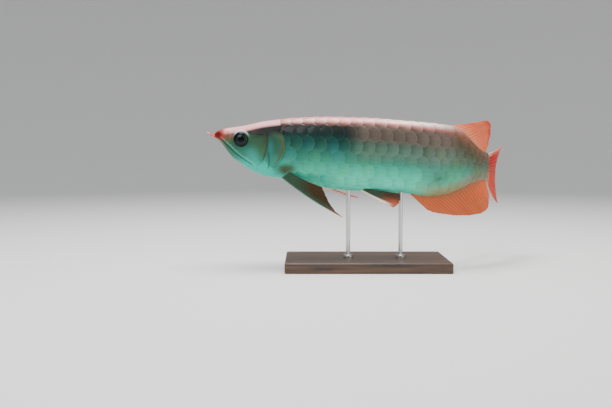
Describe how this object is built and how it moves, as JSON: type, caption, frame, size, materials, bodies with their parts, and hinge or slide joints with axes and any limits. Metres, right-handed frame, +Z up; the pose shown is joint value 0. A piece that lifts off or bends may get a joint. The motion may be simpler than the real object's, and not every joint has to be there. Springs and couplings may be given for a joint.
{
  "type": "asian arowana display model",
  "caption": "Life-size still model of an asian arowana with large scales, its tail swung round, held over a flat display base by rods.",
  "frame": {"origin": "centre of the underside of the stand's base", "axes": "+Z up; -X is the way the fish's head points; +Y is the fish's right side, away from the camera of the picture, and the side that the tail swings to"},
  "size_m": [0.3755, 0.1756, 0.1777],
  "materials": {
    "head_skin": "smooth bony skin, olive above and turquoise below, satin to glossy",
    "jaw_skin": "smooth turquoise skin, satin to glossy",
    "gill_plate": "smooth bony plate, green with a metallic sheen",
    "scales": "large overlapping scales, glossy, turquoise with paler rims",
    "fin_red": "thin orange-red fin with fine rays, satin",
    "fin_grey": "thin grey-green fin with fine rays, satin",
    "barbel_red": "soft red skin, satin",
    "eye_black": "wet, glossy dark eye",
    "stand_wood": "dark stained and oiled",
    "stand_steel": "brushed"
  },
  "bodies": {
    "root": {"head": "head_skin", "lower_jaw": "jaw_skin", "gill_cover_left": "gill_plate", "gill_cover_right": "gill_plate", "eye_left": "eye_black", "eye_right": "eye_black", "barbel_left": "barbel_red", "barbel_right": "barbel_red", "trunk": "scales", "tail": "scales", "dorsal_fin": "fin_red", "anal_fin": "fin_red", "caudal_fin": "fin_red", "pectoral_fin_left": "fin_grey", "pectoral_fin_right": "fin_grey", "pelvic_fin_left": "fin_grey", "pelvic_fin_right": "fin_grey", "stand_base": "stand_wood", "stand_rod_front": "stand_steel", "stand_rod_rear": "stand_steel"}
  },
  "joints": []
}
